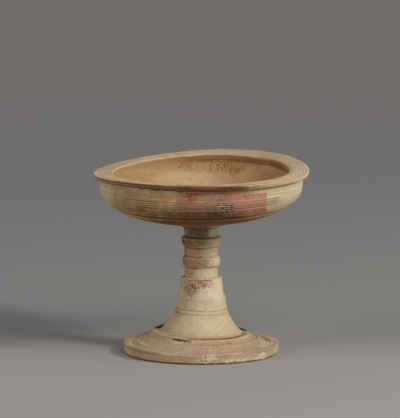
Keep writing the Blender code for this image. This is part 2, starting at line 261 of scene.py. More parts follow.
def cuts(*grooves):
    """Relief of grooves: each is as deep as it says in its middle and fades out at its edges."""

    def relief(*place):
        total = 0
        for groove in grooves:
            share = abs(place[groove.axis] - groove.centre) * 2 / groove.width
            if share < 1:
                total -= groove.depth * (0.5 + 0.5 * math.cos(math.pi * share))
        return total

    return relief


def follow(path, place, zone, pitch, relief=None):
    """Adds stations along place(share), share 0 to 1, at an even pitch, with their relief."""
    fine = [place(number / OUTLINE_STEPS) for number in range(OUTLINE_STEPS + 1)]
    lengths = [0]
    for before, after in zip(fine, fine[1:]):
        lengths.append(lengths[-1] + math.dist(before, after))
    count = max(1, round(lengths[-1] / pitch))
    index = 0
    for number in range(1, count + 1):
        wanted = lengths[-1] * number / count
        while index < OUTLINE_STEPS - 1 and lengths[index + 1] < wanted:
            index += 1
        share = (wanted - lengths[index]) / (lengths[index + 1] - lengths[index])
        spot = between(fine[index], fine[index + 1], clamp(share))
        path.append(Station(*spot, relief(*spot) if relief else 0, zone))


def line_to(path, end, zone, pitch, relief=None, swell=0):
    """A straight run to end, or one that swells out to the right of its travel."""
    start = path[-1][:2]
    length = math.dist(start, end)
    side = ((end[1] - start[1]) / length, (start[0] - end[0]) / length)

    def place(share):
        radius, height = between(start, end, share)
        bulge = swell * math.sin(math.pi * share)
        return (radius + side[0] * bulge, height + side[1] * bulge)

    follow(path, place, zone, pitch, relief)


def round_to(path, corner, end, zone, pitch):
    """A quadratic curve from the last station, by the corner, to end."""
    start = path[-1][:2]

    def place(share):
        return between(between(start, corner, share), between(corner, end, share), share)

    follow(path, place, zone, pitch)


def cone_radius(height):
    reach = CONE_BASE_RADIUS - CONE_RADIUS
    return CONE_RADIUS + reach * math.exp((CONE_BASE_HEIGHT - height) / CONE_FLARE_LENGTH)


def hollow_outline(path):
    """Dome, bore and splay of the hollow under the foot, then the standing ring."""
    dome = cone_radius(HOLLOW_DOME_HEIGHT + FOOT_WALL / 2) - FOOT_WALL
    rise = HOLLOW_HEIGHT - HOLLOW_DOME_HEIGHT

    def roof(share):
        angle = share * math.pi / 2
        return (dome * math.sin(angle), HOLLOW_DOME_HEIGHT + rise * math.cos(angle))

    def bore(share):
        height = HOLLOW_DOME_HEIGHT + (HOLLOW_SPLAY_HEIGHT - HOLLOW_DOME_HEIGHT) * share
        return (cone_radius(height + FOOT_WALL / 2) - FOOT_WALL, height)

    follow(path, roof, HOLLOW, 2.5)
    follow(path, bore, HOLLOW, 2.5)
    mouth = (FOOT_BASE_RADIUS - STANDING_RING_WIDTH, 0)
    line_to(path, mouth, HOLLOW, 2.5, swell=-HOLLOW_SPLAY_BOW)
    line_to(path, (FOOT_BASE_RADIUS - FOOT_BASE_BEVEL[0], 0), RING, 2.6)


def foot_outline(path):
    """Edge, grooved band, step and crest of the foot, and the split inside the crest."""
    bevel_corner = (FOOT_BASE_RADIUS - 0.15, FOOT_BASE_BEVEL[1] - 0.5)
    round_to(path, bevel_corner, (FOOT_BASE_RADIUS, FOOT_BASE_BEVEL[1]), FOOT_EDGE, 0.5)
    line_to(path, (FOOT_RADIUS, FOOT_EDGE_HEIGHT - FOOT_EDGE_ROUND), FOOT_EDGE, 0.9)
    edge_top = (FOOT_RADIUS - FOOT_EDGE_ROUND, FOOT_EDGE_HEIGHT)
    round_to(path, (FOOT_RADIUS, FOOT_EDGE_HEIGHT), edge_top, FOOT_EDGE, 0.5)
    line_to(path, FOOT_BAND_START, FOOT_TOP, 1)
    line_to(path, FOOT_BAND_END, FOOT_TOP, 0.45, cuts(*FOOT_GROOVES))
    step_top = (FOOT_STEP_RADIUS + FOOT_STEP_DEPTH, FOOT_STEP_HEIGHT)
    line_to(path, step_top, FOOT_TOP, 0.9, swell=-FOOT_BAND_HOLLOW)
    corner = (FOOT_STEP_RADIUS, FOOT_STEP_HEIGHT - FOOT_STEP_DEPTH)
    round_to(path, corner, (corner[0] - 0.3, corner[1] + 0.3), FOOT_TOP, 0.35)
    line_to(path, (CREST_RADIUS, CREST_HEIGHT), CREST, 0.8, swell=-CREST_HOLLOW)

    def split(radius, height):
        share = abs(radius - CREST_SPLIT_RADIUS) * 2 / CREST_SPLIT_WIDTH
        return -CREST_SPLIT_DEPTH * smooth((1 - share) * CREST_SPLIT_STEEPNESS)

    inner = CREST_SPLIT_RADIUS - CREST_SPLIT_WIDTH / 2
    line_to(path, (inner, CREST_HEIGHT), CREST, 0.36, split)


def cone_outline(path):
    """The flared cone with its cut lines, the soft step and the collar."""

    def cone(share):
        height = CONE_BASE_HEIGHT + (CONE_TOP_HEIGHT - CONE_BASE_HEIGHT) * share
        return (cone_radius(height), height)

    line_to(path, (CONE_BASE_RADIUS, CONE_BASE_HEIGHT), CONE, 0.7)
    follow(path, cone, CONE, 0.62, cuts(*CONE_GROOVES))
    shoulder = cone_radius(CONE_TOP_HEIGHT) - CONE_STEP
    step_top = CONE_TOP_HEIGHT + CONE_STEP
    corner = (shoulder + CONE_STEP * 0.7, step_top - 0.2)
    round_to(path, corner, (shoulder, step_top), CONE, 0.5)
    line_to(path, (COLLAR_RADIUS + COLLAR_SWELL, step_top + COLLAR_SWELL_RISE), CONE, 0.9)
    line_to(path, (COLLAR_RADIUS, COLLAR_TOP - COLLAR_ROUND), CONE, 0.9)
    top = (COLLAR_RADIUS - COLLAR_ROUND, COLLAR_TOP)
    round_to(path, (COLLAR_RADIUS, COLLAR_TOP), top, CONE, 0.35)


def ring_outline(path, bottom_radius, top_radius, span):
    """A ring of the stem between two lengths of neck, with worn edges."""
    bottom, top = span
    line_to(path, (NECK_RADIUS, bottom - 0.3), STEM, 0.95)
    line_to(path, (bottom_radius - RING_ROUND, bottom), STEM, 0.5)
    round_to(path, (bottom_radius, bottom), (bottom_radius, bottom + RING_ROUND), STEM, 0.4)
    line_to(path, (top_radius, top - RING_ROUND), STEM, 0.9, swell=RING_SWELL)
    round_to(path, (top_radius, top), (top_radius - RING_ROUND, top), STEM, 0.4)
    line_to(path, (NECK_RADIUS, top + 0.3), STEM, 0.5)


def bowl_curve(angle):
    """A point of the bowl's outside: angle 0 is at the shoulder and a quarter turn at the axis."""
    radius = BOWL_RADIUS * math.cos(angle) ** (2 / BOWL_FULLNESS)
    return (radius, SHOULDER_HEIGHT - BOWL_DEPTH * math.sin(angle) ** (2 / BOWL_FULLNESS))


def curve_angle(share):
    """The angle where the height below the shoulder is a share of the bowl's depth."""
    return math.asin(share ** (BOWL_FULLNESS / 2))


def bowl_start():
    """The angle of the bowl's curve where the fillet meets it."""
    return math.acos(((NECK_RADIUS + FILLET_REACH) / BOWL_RADIUS) ** (BOWL_FULLNESS / 2))


def stem_outline(path):
    """Neck and rings, then the fillet that spreads under the bowl."""
    line_to(path, (NECK_RADIUS, COLLAR_TOP + 0.4), STEM, 0.6)
    ring_outline(path, LOWER_RING_RADIUS, LOWER_RING_RADIUS, LOWER_RING_SPAN)
    ring_outline(path, UPPER_RING_RADIUS - UPPER_RING_TAPER, UPPER_RING_RADIUS, UPPER_RING_SPAN)
    line_to(path, (NECK_RADIUS, FILLET_BOTTOM), STEM, 0.95)
    rise = bowl_curve(bowl_start())[1] - FILLET_BOTTOM

    def fillet(share):
        return (NECK_RADIUS + FILLET_REACH * share**FILLET_BEND, FILLET_BOTTOM + rise * share)

    follow(path, fillet, STEM, 0.6, cuts(FILLET_GROOVE))


def bowl_outline(path):
    """The underside with a bead between two grooves, the combed shoulder and the wall."""
    start = bowl_start()
    last_plain = start * (1 - PLAIN_UNDERSIDE)
    spacing = (COMB_HEIGHTS[-1] - COMB_HEIGHTS[0]) / (len(COMB_HEIGHTS) - 1)
    comb_foot = curve_angle((SHOULDER_HEIGHT - COMB_HEIGHTS[0] + spacing) / BOWL_DEPTH)

    def plain(share):
        return bowl_curve(start * (1 - share * PLAIN_UNDERSIDE))

    def grooved(share):
        return bowl_curve(last_plain + (comb_foot - last_plain) * share)

    follow(path, plain, UNDERSIDE, 1.6)
    follow(path, grooved, UNDERSIDE, 0.6, cuts(*BOWL_GROOVES))
    for comb in COMB_HEIGHTS:
        for height, depth in ((comb - spacing / 2, COMB_RIDGE), (comb, -COMB_DEPTH)):
            radius = bowl_curve(curve_angle((SHOULDER_HEIGHT - height) / BOWL_DEPTH))[0]
            path.append(Station(radius, height, depth, UNDERSIDE))
    path.append(Station(BOWL_RADIUS, SHOULDER_HEIGHT + 0.3, COMB_RIDGE, UNDERSIDE))
    line_to(path, (WALL_RADIUS, WALL_TOP), WALL, 0.9)


def rim_outline(path):
    """Throat, shadow groove, lip, ledge with fine turned rings, and the inner lip."""
    throat = WALL_RADIUS + THROAT_FLARE

    def flare(share):
        return (WALL_RADIUS + THROAT_FLARE * share**2, WALL_TOP + THROAT_HEIGHT * share)

    follow(path, flare, WALL, 0.8)
    line_to(path, (throat - LIP_GROOVE_DEPTH, LIP_BOTTOM - 0.4), LIP, 0.4)
    line_to(path, (throat + LIP_GROOVE_DEPTH, LIP_BOTTOM), LIP, 0.6)
    face = RIM_RADIUS - LIP_LEAN
    round_to(path, (face, LIP_BOTTOM + 0.3), (face, LIP_BOTTOM + LIP_UNDERCUT), LIP, 0.5)
    line_to(path, (RIM_RADIUS, RIM_HEIGHT - LIP_ROUND), LIP, 0.3, cuts(LIP_GROOVE))
    outer = (RIM_RADIUS - LIP_ROUND, RIM_HEIGHT)
    round_to(path, (RIM_RADIUS, RIM_HEIGHT), outer, LIP, 0.4)
    inner = (INNER_RADIUS + INNER_LIP_ROUND, RIM_HEIGHT - LEDGE_FALL)
    margin = (math.dist(outer, inner) - LEDGE_GROOVE_COUNT * LEDGE_GROOVE_PITCH) / 2
    first = outer[0] - margin - LEDGE_GROOVE_PITCH / 2
    rings = [
        Groove(RADIUS, first - LEDGE_GROOVE_PITCH * number, LEDGE_GROOVE_PITCH, LEDGE_GROOVE_DEPTH)
        for number in range(LEDGE_GROOVE_COUNT)
    ]
    line_to(path, inner, LEDGE, 0.5, cuts(*rings))
    corner = (INNER_RADIUS, inner[1])
    round_to(path, corner, (INNER_RADIUS, corner[1] - INNER_LIP_ROUND), LEDGE, 0.4)
    lip_foot = corner[1] - INNER_LIP_DEPTH
    crease = Groove(HEIGHT, lip_foot, *INNER_LIP_CREASE)
    line_to(path, (INNER_RADIUS, lip_foot), INSIDE, 0.75, cuts(crease))


def inside_outline(path):
    """The hollow slope of the bowl down to the middle of its floor."""
    top = path[-1].height

    def slope(share):
        reach = 1 - share
        return (INNER_RADIUS * reach, FLOOR_HEIGHT + (top - FLOOR_HEIGHT) * reach**INSIDE_CURVE)

    follow(path, slope, INSIDE, 2)


def vessel_outline():
    path = [Station(0, HOLLOW_HEIGHT, 0, HOLLOW)]
    for draw in (hollow_outline, foot_outline, cone_outline, stem_outline, bowl_outline):
        draw(path)
    rim_outline(path)
    inside_outline(path)
    return path


def station_sides(path):
    """The way out of the clay at each station, as a (radius, height) direction."""
    sides = []
    padded = [path[0], *path, path[-1]]
    for before, after in zip(padded, padded[2:]):
        along = (after.radius - before.radius, after.height - before.height)
        length = math.hypot(*along)
        sides.append((along[1] / length, -along[0] / length))
    return sides


LAYERS = ("radius", "height", "relief", "side_out", "side_up", "zone")


def spin_outline(path):
    """Spins the outline round Z. Each point keeps its station's values in its own layers."""
    shape = bmesh.new()
    layers = {name: shape.verts.layers.float.new(name) for name in LAYERS}
    verts = []
    for station, side in zip(path, station_sides(path)):
        radius, height = station.radius * MM, station.height * MM
        vert = shape.verts.new((radius, 0, height))
        values = (radius, height, station.relief, *side, station.zone)
        for name, value in zip(LAYERS, values):
            vert[layers[name]] = value
        verts.append(vert)
    edges = [shape.edges.new(pair) for pair in zip(verts, verts[1:])]
    turn = {"cent": (0, 0, 0), "axis": (0, 0, 1), "angle": math.tau, "steps": SPIN_STEPS}
    bmesh.ops.spin(shape, geom=verts + edges, use_merge=True, **turn)
    bmesh.ops.remove_doubles(shape, verts=shape.verts[:], dist=MERGE_DISTANCE)
    return shape, layers


def cut_finer(shape, layers, chosen, around_only=True):
    """Halves the edges that run round the vessel where chosen(middle point, zone) is true."""
    edges = []
    for edge in shape.edges:
        ends = [[vert[layers[name]] for name in ("radius", "height", "zone")] for vert in edge.verts]
        if around_only and math.dist(ends[0][:2], ends[1][:2]) > MERGE_DISTANCE / 10:
            continue
        zone = round(max(ends[0][2], ends[1][2]))
        if chosen((edge.verts[0].co + edge.verts[1].co) / 2, zone):
            edges.append(edge)
    bmesh.ops.subdivide_edges(shape, edges=edges, cuts=1, use_grid_fill=True)
    for vert in shape.verts:
        if vert[layers["radius"]] > MERGE_DISTANCE:
            bearing = math.atan2(vert.co.y, vert.co.x)
            vert.co.x = vert[layers["radius"]] * math.cos(bearing)
            vert.co.y = vert[layers["radius"]] * math.sin(bearing)


def sag(radius, height, across, away):
    """Height gained by a point. across and away are the cosine and sine of its bearing."""
    double_cos = across * across - away * away
    double_sin = 2 * across * away
    reach = radius / RIM_RADIUS
    raised = clamp((height - FILLET_BOTTOM) / FILLET_RISE)
    tilt = (RIM_TILT_RIGHT * across + RIM_TILT_BACK * away) * reach * raised
    bend = clamp(2 * reach - 1) ** 2
    bend *= clamp((height - RIM_HEIGHT + RIM_BEND_DEPTH) / RIM_BEND_DEPTH)
    facing = across * math.cos(RIM_LIFT_BEARING) + away * math.sin(RIM_LIFT_BEARING)
    lift = RIM_LIFT * max(0, facing) ** RIM_LIFT_SHARPNESS
    bow = (RIM_TWIST * double_sin - RIM_BOW * double_cos + lift) * bend
    low = clamp(height / CREST_HEIGHT) * clamp((CONE_TOP_HEIGHT - height) / CREST_HEIGHT)
    outward = clamp((radius - CREST_RADIUS) / (FOOT_RADIUS - CREST_RADIUS))
    crest = (CREST_TILT_BACK * away - CREST_TILT_LEFT * across) * (1 - outward)
    crest *= clamp(radius / CREST_RADIUS)
    edge = -FOOT_TWIST * double_sin * outward
    return tilt + bow + (crest + edge) * low


def hand_marks(point, radius, height, zone):
    """How far a point of the plain surface stands out: hand, wheel and weather."""
    if zone == RING:
        return 0
    marks = sum(noise.noise(point * number) * depth for number, depth in HAND_MARKS)
    turning = Vector((point.x * 9, point.y * 9, (height + radius) * 0.52))
    return marks + noise.noise(turning) * WHEEL_MARK_DEPTH


def relief_strength(zone, across, away, point):
    """How sharp the turned grooves still are at a bearing, from worn off to as cut."""
    wander = noise.noise(point * 30) * 0.3 + noise.noise(point * 110) * 0.25
    if zone in SHARPNESS:
        sharp, gain = SHARPNESS[zone]
        return clamp(sharp + gain * across + wander)
    if zone == CREST:
        return clamp(2.2 * away - 0.35 + 0.5 * wander)
    if zone == FOOT_TOP:
        return clamp(1.25 * abs(across) - 0.15 + 0.6 * wander)
    if zone in (UNDERSIDE, WALL):
        return clamp(0.85 + wander) * (1 - 0.75 * smooth((abs(across) - 0.72) * 6))
    return clamp(0.85 + wander)


def throat_shift(radius, height, across):
    """The lip hangs out furthest on the left of the bowl and hardly at all on its right."""
    rise = clamp((height - WALL_TOP) / THROAT_HEIGHT)
    reach = clamp((RIM_RADIUS - radius) / (RIM_RADIUS - WALL_RADIUS - THROAT_FLARE))
    above = clamp((LIP_BOTTOM + LIP_UNDERCUT - height) / LIP_UNDERCUT)
    return -THROAT_FLARE * (0.4 + 0.5 * across) * rise * rise * reach * above


def shape_surface(shape, layers):
    """Moves every point from the plain form to the thrown, grooved and sagged one."""
    sunk = shape.verts.layers.float.new("sunk")
    ridge = shape.verts.layers.float.new("ridge")
    for vert in shape.verts:
        radius = vert[layers["radius"]] / MM
        height = vert[layers["height"]] / MM
        zone = round(vert[layers["zone"]])
        point = vert.co.copy()
        across, away = (0, 0)
        if radius * MM > MERGE_DISTANCE:
            across, away = point.x / radius / MM, point.y / radius / MM
        relief = vert[layers["relief"]] * relief_strength(zone, across, away, point)
        move = relief + hand_marks(point, radius, height, zone)
        side = Vector((across, away, 0)) * vert[layers["side_out"]]
        side.z = vert[layers["side_up"]]
        vert.co += side * (move * MM)
        if zone in (WALL, LIP):
            vert.co += Vector((across, away, 0)) * (throat_shift(radius, height, across) * MM)
        vert.co.z += sag(radius, height, across, away) * MM
        vert[sunk] = clamp(-relief / CREST_SPLIT_DEPTH)
        vert[ridge] = clamp(relief / COMB_RIDGE)


def ragged(point, amount):
    """An uneven edge, as clay breaks: the same place always gets the same value."""
    return amount * (noise.noise(point * 420) + 0.6 * noise.noise(point * 1300))


def near(tree, dent, limit, steepness):
    """Points round a dent, each with how much it belongs to it, 0 past its ragged limit."""
    centre = Vector(dent.place) * MM
    for point, index, distance in tree.find_range(centre, max(dent.reach) * 1.5 * MM):
        offset = (point - centre) / MM
        share = math.hypot(*(offset[axis] / dent.reach[axis] for axis in range(3)))
        if share < 1.5:
            yield index, point, smooth((limit - share - ragged(point, dent.ragged)) * steepness)


def wear_surface(shape, tree):
    """Nicks, scars, pits, crusts and cracks, each noted in a layer for the clay's colour."""
    marks = {name: shape.verts.layers.float.new(name) for name in ("broken", "pitted", "crusted")}
    shape.verts.ensure_lookup_table()
    shape.normal_update()
    moves = {}

    def move(index, distance, name, strength):
        vert = shape.verts[index]
        moves[index] = moves.get(index, 0) + distance * MM
        vert[marks[name]] = max(vert[marks[name]], strength)

    for dent in NICKS:
        for index, point, area in near(tree, dent, 1.15, 1.7):
            move(index, -dent.depth * area, "broken", area)
    for dent in SCARS:
        for index, point, area in near(tree, dent, 1.05, 4.5):
            rough = 1 + 0.5 * noise.noise(point * 700)
            move(index, -dent.depth * area * rough, "broken", area)
    for dent in PITTED:
        for index, point, area in near(tree, dent, 1.15, 2.5):
            hole = area * smooth(noise.noise(point * 640 + Vector(dent.place)) * 4 - 0.5)
            move(index, -dent.depth * hole, "pitted", hole)
    for dent in CRUSTS:
        for index, point, area in near(tree, dent, 1.1, 4):
            lump = 0.55 + 0.9 * noise.noise(point * 560)
            move(index, dent.depth * area * clamp(lump), "crusted", area * clamp(lump * 2))
    for crack in CRACKS:
        path = [Vector(place) * MM for place in crack.path]
        for start, end in zip(path, path[1:]):
            crack_length(tree, crack, start, end, move)
    normals = {index: shape.verts[index].normal.copy() for index in moves}
    for index, distance in moves.items():
        shape.verts[index].co += normals[index] * distance


def crack_length(tree, crack, start, end, move):
    """One straight length of a crack or scratch."""
    name = "pitted" if crack.depth > 0 else "broken"
    along = end - start
    reach = along.length / 2 + crack.width * MM
    for point, index, distance in tree.find_range((start + end) / 2, reach):
        share = clamp((point - start).dot(along) / along.length_squared)
        away = (point - start - along * share).length / MM
        strength = smooth((crack.width * (1 + ragged(point, 0.6)) - away) / crack.width * 1.6)
        if strength > 0:
            move(index, -crack.depth * strength, name, strength)


def note_bends(shape):
    """Notes how sharply the finished surface bends: out at worn edges, in at hollows that get dirt and
    painted shade.
    """
    bent = shape.verts.layers.float.new("bent")
    shape.normal_update()
    shape.verts.index_update()
    bends = []
    for vert in shape.verts:
        total = 0
        for edge in vert.link_edges:
            step = edge.other_vert(vert).co - vert.co
            total += step.dot(vert.normal) / max(step.length_squared, 1e-10)
        bends.append(-total / max(1, len(vert.link_edges)))
    for _ in range(BEND_SMOOTHING):
        bends = [
            (bends[vert.index] + sum(bends[edge.other_vert(vert).index] for edge in vert.link_edges))
            / (1 + len(vert.link_edges))
            for vert in shape.verts
        ]
    for vert in shape.verts:
        vert[bent] = max(-1, min(1, bends[vert.index] * BEND_RADIUS))


def detailed(middle, zone):
    """True in a box where small dents are too fine for the spun mesh."""
    return any(
        zone in zones and all(low[axis] < middle[axis] / MM < high[axis] for axis in range(3))
        for zones, low, high in FINE_BOXES
    )


def link(thing):
    bpy.context.scene.collection.objects.link(thing)
    return thing


def make_piece(name, shape, material):
    mesh = bpy.data.meshes.new(name)
    shape.to_mesh(mesh)
    shape.free()
    mesh.materials.append(material)
    return link(bpy.data.objects.new(name, mesh))


def build_chalice():
    shape, layers = spin_outline(vessel_outline())
    cut_finer(shape, layers, lambda middle, zone: middle.xy.length > FINE_RADIUS and zone != HOLLOW)
    cut_finer(shape, layers, lambda middle, zone: zone in (WALL, LIP))
    cut_finer(shape, layers, detailed, around_only=False)
    shape_surface(shape, layers)
    bmesh.ops.recalc_face_normals(shape, faces=shape.faces[:])
    tree = KDTree(len(shape.verts))
    for index, vert in enumerate(shape.verts):
        tree.insert(vert.co, index)
    tree.balance()
    wear_surface(shape, tree)
    for vert in shape.verts:
        vert.co.z = max(vert.co.z, 0)
    note_bends(shape)
    piece = make_piece("thrown_chalice", shape, fired_clay())
    piece.data.shade_smooth()
    return piece


def paint(*levels):
    """Red, green and blue from 0 to 255, turned into the light that the paint sends back."""
    shares = [level / 255 for level in levels]
    light = [share / 12.92 if share <= 0.04045 else ((share + 0.055) / 1.055) ** 2.4 for share in shares]
    return (*light, 1)


BUFF = paint(209, 184, 145)
SAND = paint(197, 167, 126)
HONEY = paint(196, 156, 109)
BISCUIT = paint(219, 183, 145)
PALE = paint(210, 192, 160)
CREAM = paint(218, 200, 163)
CHALK = paint(232, 218, 190)
GREYED = paint(194, 174, 144)
TAN = paint(190, 148, 98)
BROWN = paint(154, 114, 70)
DEEP_BROWN = paint(114, 76, 40)
# Painted shade: on the stem under the bowl, under the lower ring, in the crest's split and where the foot
# meets the floor
PAINTED_SHADE = paint(80, 54, 28)
PINK = paint(210, 166, 138)
ROSE = paint(190, 136, 106)
RED = paint(164, 94, 70)
RUST = paint(132, 80, 52)
# Scorched clay, and painted shade on the front of the lip
BURNT_AND_SHADED = paint(94, 54, 32)
OLIVE = paint(170, 138, 94)
DRAB = paint(168, 142, 110)
VIOLET = paint(142, 116, 108)
UMBER = paint(92, 66, 58)
# Soot, and painted shade in a hole of the upper ring
SOOT_AND_SHADE = paint(50, 42, 40)
ASH = paint(182, 164, 140)
OCHRE = paint(200, 122, 48)
# Dirt and dark grains, and painted shade in hollows and cuts
DIRT_AND_SHADE = paint(106, 76, 42)
SHADOW = paint(48, 40, 26)
CRUST = paint(222, 208, 184)

# Edges of the scorched patch on the front of the bowl
PATCH_LEFT = -27 * MM
PATCH_RIGHT = 51.6 * MM
PATCH_BOTTOM = 117 * MM
PATCH_TOP = 142 * MM


def stains(*rows):
    """Each row is a place, a reach along X, Y and Z, a colour, then hundredths: how strong the
    stain is, how ragged its edge is and, where it isn't half, how soft."""
    return [Stain(row[:3], row[3:6], row[6], *(share / 100 for share in row[7:])) for row in rows]


# Broad changes of colour from the kiln and the ground, and some painted shade and highlights, noted above
# their rows
STAINS = stains(
    (70, -40, 134, 34, 40, 22, CREAM, 75, 50),
    (-78, -24, 130, 12, 24, 13, CREAM, 90, 35, 25),
    (-60, -56, 136, 12, 14, 5.5, TAN, 60, 90, 35),
    (-54.5, -60, 136.6, 5, 8, 4, BROWN, 30, 70, 40),
    (-36, -72, 135, 18, 12, 6, TAN, 80, 70),
    (78, -22, 138, 8, 20, 8, CHALK, 60, 50),
    (-44, -64, 122.5, 26, 22, 5.5, BROWN, 80, 70, 45),
    (-48, -61, 124.2, 4.5, 8, 1.8, DEEP_BROWN, 50, 80, 40),
    (-24, -76.7, 129.8, 2.2, 6, 3.2, CREAM, 60, 90, 40),
    (-4, -70, 119.5, 34, 26, 5, DEEP_BROWN, 75, 50),
    (32, -58, 117.5, 26, 24, 5, RUST, 80, 60, 40),
    # Partly the clay's brown and partly painted shade under the bowl; on the fillet at the top of the stem,
    # painted shade
    (0, -38, 112.5, 58, 44, 6, BROWN, 85, 50, 40),
    (-4, -50, 113.5, 34, 34, 4.5, DEEP_BROWN, 70, 60, 40),
    (0, 0, 104, 24, 24, 5, DEEP_BROWN, 70, 40, 40),
    # Painted shade on the top of the stem, in the shadow of the bowl
    (-2.5, -12, 97.5, 9, 8, 7, PAINTED_SHADE, 60, 30),
    # Painted highlight on the right of the top of the stem, where light reaches under the bowl
    (12, -8, 97, 5, 9, 9, CHALK, 90, 60),
    # Painted shade in the hole at the left of the upper ring
    (-14.5, -4.8, 90.1, 1.6, 3, 1.5, SOOT_AND_SHADE, 100, 30, 25),
    (-6, -12, 84, 9, 12, 4, DRAB, 50, 50, 40),
    (-14, -5, 78, 4, 9, 22, DIRT_AND_SHADE, 30, 60),
    (-8, -10, 82.5, 7, 9, 5, DEEP_BROWN, 50, 50),
    # Painted shade under the lower ring
    (-1, -14, 70.6, 13, 8, 1.7, PAINTED_SHADE, 75, 70),
    (2, -14, 75, 8, 8, 4, DRAB, 60, 70),
    (-9, -12, 74.5, 7, 9, 5, BROWN, 50, 60),
    # Painted highlight on the right of the top of the stem, where light reaches under the bowl
    (12, -9, 97, 5.4, 9, 5, CREAM, 90, 30, 40),
    (-72, 12, 145.5, 14, 26, 3, GREYED, 50, 70, 60),
    (-83.5, -4, 146.5, 3.4, 7, 2.4, CHALK, 70, 180, 40),
    (84, -4, 147, 6, 24, 4, CREAM, 70, 50, 40),
    (-6, -11, 90.2, 14, 10, 5, BROWN, 70, 40),
    (-6, -11, 82.5, 12, 9, 5, TAN, 35, 50),
    (11.5, -10, 89.4, 5, 8, 4.5, PALE, 70, 50, 30),
    (-12, -9, 90.6, 7, 8, 4.5, DEEP_BROWN, 55, 40),
    (-7, -10, 82, 6.5, 9, 3.6, PINK, 60, 50, 30),
    (-6.5, -13, 74.4, 5.6, 8, 4.4, ROSE, 55, 35, 20),
    (0.5, -14.8, 74.4, 5, 5, 4.4, DRAB, 70, 30, 8),
    (-15, -2, 74.4, 3.6, 9, 4.6, BROWN, 70, 40, 40),
    (-13.6, -2, 82, 2.4, 9, 4.6, BROWN, 50, 40, 40),
    (7, -12, 66, 6, 8, 4, PINK, 40, 60, 40),
    (11, -10, 74.6, 5, 8, 3.4, CHALK, 45, 80, 30),
    (-8.5, -10, 67, 4.6, 6, 4.2, ROSE, 55, 50, 30),
    (-6, -16, 57.4, 10.2, 8, 4.4, GREYED, 75, 30, 12),
    (3.5, -16.5, 57.6, 7, 8, 4.2, GREYED, 75, 30, 12),
    (-9, -14.8, 52.6, 6.6, 8, 4.8, DRAB, 65, 50, 25),
    (-3, -16, 56, 8, 8, 5, TAN, 35, 90),
    (12, -13, 52, 7.4, 10, 11, CHALK, 85, 50, 40),
    (4, -18, 42, 12, 9, 6, CHALK, 50, 80),
    (-8, -17, 42, 5.5, 8, 8, DRAB, 60, 80, 40),
    (6, -12, 65, 10, 8, 5, CHALK, 50, 60),
    (-16, -20, 33, 12, 12, 14, BISCUIT, 55, 60),
    (4, -17, 51, 9, 8, 4.4, CHALK, 80, 60, 40),
    (6, -20, 42, 9, 9, 8, PALE, 60, 60),
    (-76, 10, 150, 14, 34, 4, CREAM, 45, 70),
    (74, -10, 148, 14, 44, 5, CHALK, 90, 70),
    (-19.5, -13.5, 33.5, 3.4, 7, 4.6, ROSE, 40, 70, 40),
    (6, -22, 34, 22, 14, 15, CREAM, 75, 60),
    (-30, -30, 14, 16, 14, 3.4, GREYED, 60, 70),
    (0, 0, 11, 70, 70, 5, DRAB, 35, 20, 30),
    (46, -20, 10.5, 20, 30, 4, DRAB, 70, 60),
    (50, -36, 4.5, 16, 22, 5.5, DRAB, 45, 60, 40),
    (-30, -52, 4.4, 24, 16, 4.6, ROSE, 30, 70, 70),
    (-48, -40, 7.6, 22, 34, 0.55, DEEP_BROWN, 70, 50, 40),
    # Painted shadow where the foot meets the floor
    (0, -20, 0, 70, 62, 1.5, PAINTED_SHADE, 90, 30, 30),
    (12, -47, 12.4, 34, 12, 2.2, DRAB, 50, 50),
    (26, -55, 4.6, 22, 14, 4.6, PINK, 35, 70, 70),
    (60, -14, 5, 4, 14, 5, CREAM, 40, 50, 40),
    (0, 0, 9, 82, 82, 11, GREYED, 40, 40),
    (-38, -48, 3.5, 15, 14, 4.5, PINK, 40, 60),
    (-49, -20, 9, 12, 15, 2.6, CREAM, 40, 80),
    (-66, -45, 126, 10, 20, 7, BROWN, 35, 60),
    (-29, -30, 15.5, 9, 9, 4, DRAB, 60, 60),
    (-56, -25, 7.5, 9, 14, 2, BROWN, 40, 80),
    (50, -35, 7.5, 12, 12, 2, TAN, 50, 80),
    (0, -62, 7.4, 44, 6, 2, DRAB, 50, 80),
    (22, -36, 14, 24, 14, 4, OLIVE, 35, 60),
    (56, -52, 148, 18, 20, 4, BISCUIT, 70, 60),
    (-58, -18, 5, 6, 16, 5, CREAM, 60, 60),
    (-40, 62, 130, 26, 24, 14, TAN, 60, 90),
    (34, 66, 128, 20, 20, 12, ROSE, 40, 90),
    (6, 16, 84, 12, 8, 14, GREYED, 50, 80),
    (-10, 22, 36, 14, 12, 12, SAND, 50, 80),
    (20, 50, 8, 26, 18, 6, PINK, 50, 80),
)

INSIDE_STAINS = stains(
    (-8, 56, 132.5, 22, 30, 6, BUFF, 50, 80, 60),
    # Painted shade under the lip at the back of the inside and on the inner wall on the right, away from the
    # lamps
    (-10, 68, 142.6, 60, 14, 5, BROWN, 60, 40, 60),
    (26, 62, 142, 30, 14, 5.4, BROWN, 80, 40, 60),
    (38, 44, 134, 22, 30, 8, BROWN, 35, 50, 60),
    (60, 30, 138, 18, 40, 10, BROWN, 40, 50, 60),
    (2, 64, 140, 20, 8, 3.4, SAND, 40, 90, 60),
    (-20, 0, 116, 34, 30, 8, TAN, 50, 90, 60),
    (-60, 24, 138, 24, 38, 9, BROWN, 35, 60, 60),
    (30, -40, 126, 26, 20, 9, GREYED, 50, 90, 60),
)

